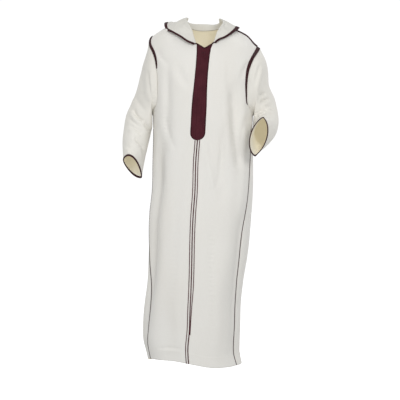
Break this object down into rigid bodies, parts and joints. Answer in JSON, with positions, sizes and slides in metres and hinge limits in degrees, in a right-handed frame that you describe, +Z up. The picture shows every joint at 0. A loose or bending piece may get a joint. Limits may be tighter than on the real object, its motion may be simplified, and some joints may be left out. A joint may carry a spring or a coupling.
{
  "type": "thobe robe",
  "caption": "Ankle-length hooded cloth robe worn upright, with long sleeves, a hood lying down the back, and dark braided trim.",
  "frame": {"origin": "middle of the neck opening, where the wearer's neck and shoulders hold the robe", "axes": "+Z up along the wearer, -Y towards the front, +X towards the wearer's left"},
  "size_m": [0.6592, 0.4529, 1.4727],
  "materials": {
    "cream_cloth": "plain woven off-white cloth, matt",
    "cream_sleeve_cloth": "plain woven off-white cloth, slightly warmer",
    "cream_hood_cloth": "plain woven off-white cloth, matt",
    "burgundy_braid": "silk-like braided panel, soft sheen",
    "dark_burgundy_cord": "thin braided cord, soft sheen"
  },
  "bodies": {
    "root": {"front_right": "cream_cloth", "front_left": "cream_cloth", "back": "cream_cloth", "side_panel_right": "cream_cloth", "side_panel_left": "cream_cloth", "sleeve_right": "cream_sleeve_cloth", "sleeve_left": "cream_sleeve_cloth", "cuff_trim_right": "dark_burgundy_cord", "cuff_trim_left": "dark_burgundy_cord", "hood": "cream_hood_cloth", "hood_trim": "dark_burgundy_cord", "placket": "burgundy_braid", "cord_right": "dark_burgundy_cord", "cord_centre": "dark_burgundy_cord", "cord_left": "dark_burgundy_cord", "side_cord_front_right": "dark_burgundy_cord", "side_cord_front_left": "dark_burgundy_cord", "side_cord_back_right": "dark_burgundy_cord", "side_cord_back_left": "dark_burgundy_cord", "armhole_trim_right": "dark_burgundy_cord", "armhole_trim_left": "dark_burgundy_cord", "shoulder_trim_right": "dark_burgundy_cord", "shoulder_trim_left": "dark_burgundy_cord"}
  },
  "joints": []
}
